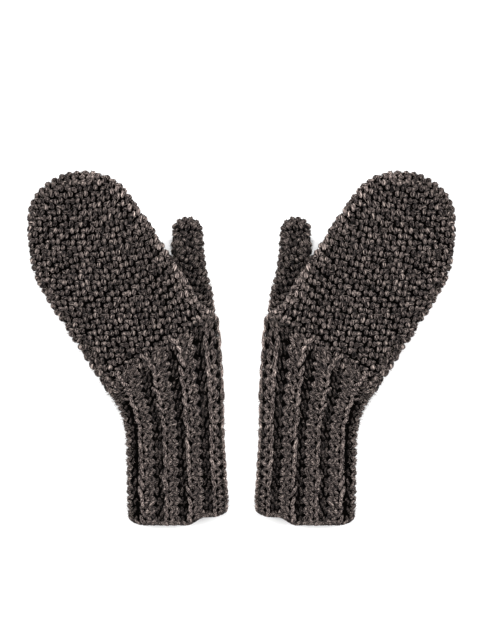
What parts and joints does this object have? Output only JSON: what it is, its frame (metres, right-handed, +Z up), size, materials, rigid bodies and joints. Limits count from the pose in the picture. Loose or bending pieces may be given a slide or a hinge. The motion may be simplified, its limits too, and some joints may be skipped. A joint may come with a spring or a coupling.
{
  "type": "pair of mittens",
  "caption": "Pair of crocheted wool mittens laid flat: leaning rounded hand, thumb under its inner edge, long ribbed cuff; mirror images side by side.",
  "frame": {"origin": "on the surface the pair lies on, at the middle of the pair's bounding box: midway between the two mittens", "axes": "+Z up from the surface, +Y from the hems towards the fingertips, +X from the mitten seen on the left to the one on the right"},
  "size_m": [0.2822, 0.2336, 0.0155],
  "materials": {
    "wool": "charcoal brown marl wool yarn, crocheted, matt and slightly hairy"
  },
  "bodies": {
    "root": {"hand_left": "wool", "thumb_left": "wool", "cuff_left": "wool", "hand_right": "wool", "thumb_right": "wool", "cuff_right": "wool"}
  },
  "joints": []
}
